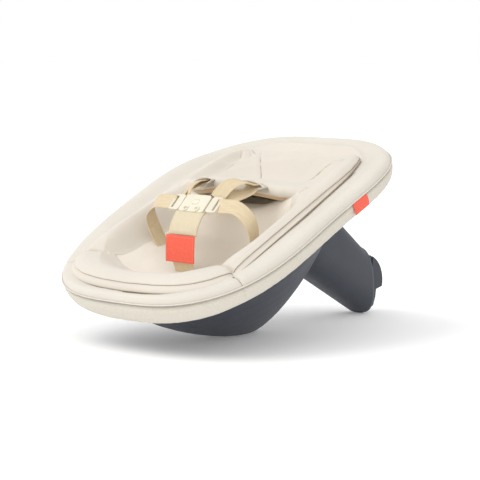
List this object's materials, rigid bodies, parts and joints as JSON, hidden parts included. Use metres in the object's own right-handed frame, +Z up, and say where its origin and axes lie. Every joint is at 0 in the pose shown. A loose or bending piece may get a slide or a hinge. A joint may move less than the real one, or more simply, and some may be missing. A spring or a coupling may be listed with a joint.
{
  "type": "baby bouncer seat",
  "caption": "Reclined newborn seat: padded oval cover and insert on a deep plastic shell with a plug-in neck, and a five-point harness.",
  "frame": {"origin": "centre of the bounding box in X and Y, on the floor plane in Z", "axes": "+X to the right of a child lying in the seat seen from the foot end, -Y the foot end, +Y the head end and the neck, +Z up"},
  "size_m": [0.4886, 0.685, 0.3463],
  "materials": {
    "shell": "fine matt texture",
    "steel": "plain",
    "cover_fabric": "soft knit over padding",
    "cover_canvas": "heathered canvas",
    "insert_fabric": "soft knit over padding",
    "webbing": "woven tape",
    "label": "woven label",
    "buckle": "satin"
  },
  "bodies": {
    "seat": {"seat_shell": "shell", "neck_tube": "shell", "neck_collar": "shell", "plug_body": "shell", "strap_anchors": "shell", "mount_plate": "steel", "neck_screws": "steel", "plug_pin": "steel", "latch_spring": "steel", "cover_rim": "cover_fabric", "cover_piping": "cover_fabric", "seat_panel": "cover_fabric", "back_panel": "cover_fabric", "cover_skirt": "cover_canvas", "insert_pad": "insert_fabric", "insert_foot_roll": "insert_fabric", "insert_side_left": "insert_fabric", "insert_side_right": "insert_fabric", "head_pad": "insert_fabric", "shoulder_yoke": "insert_fabric", "strap_bindings": "insert_fabric", "crotch_pad": "insert_fabric", "crotch_strap": "webbing", "lap_strap_left": "webbing", "lap_strap_right": "webbing", "shoulder_strap_left": "webbing", "shoulder_strap_right": "webbing", "crotch_label": "label", "side_tag": "label", "buckle_body": "buckle", "buckle_cover": "buckle"},
    "latch": {"latch_bolt": "steel"},
    "release": {"release_button": "shell"},
    "buckle_press": {"buckle_button": "buckle"},
    "left_tongue": {"tongue_left": "buckle"},
    "right_tongue": {"tongue_right": "buckle"}
  },
  "joints": [
    {"name": "release_press", "type": "slide", "parent": "seat", "child": "release", "axis": [1, 0, 0], "range_m": [0, 0.004]},
    {"name": "latch_slide", "type": "slide", "parent": "seat", "child": "latch", "axis": [0, -1, 0], "range_m": [0, 0.008], "stiffness_N_per_m": 400, "deforming": ["latch_spring"]},
    {"name": "buckle_press", "type": "slide", "parent": "seat", "child": "buckle_press", "axis": [0, 0.7009, -0.7133], "range_m": [0, 0.003], "stiffness_N_per_m": 400},
    {"name": "tongue_left_draw", "type": "slide", "parent": "seat", "child": "left_tongue", "axis": [-1, 0, 0], "range_m": [0, 0.016]},
    {"name": "tongue_right_draw", "type": "slide", "parent": "seat", "child": "right_tongue", "axis": [1, 0, 0], "range_m": [0, 0.016]}
  ],
  "couplings": [
    {"joint": "latch_slide", "follows": "release_press", "ratio": 2}
  ]
}
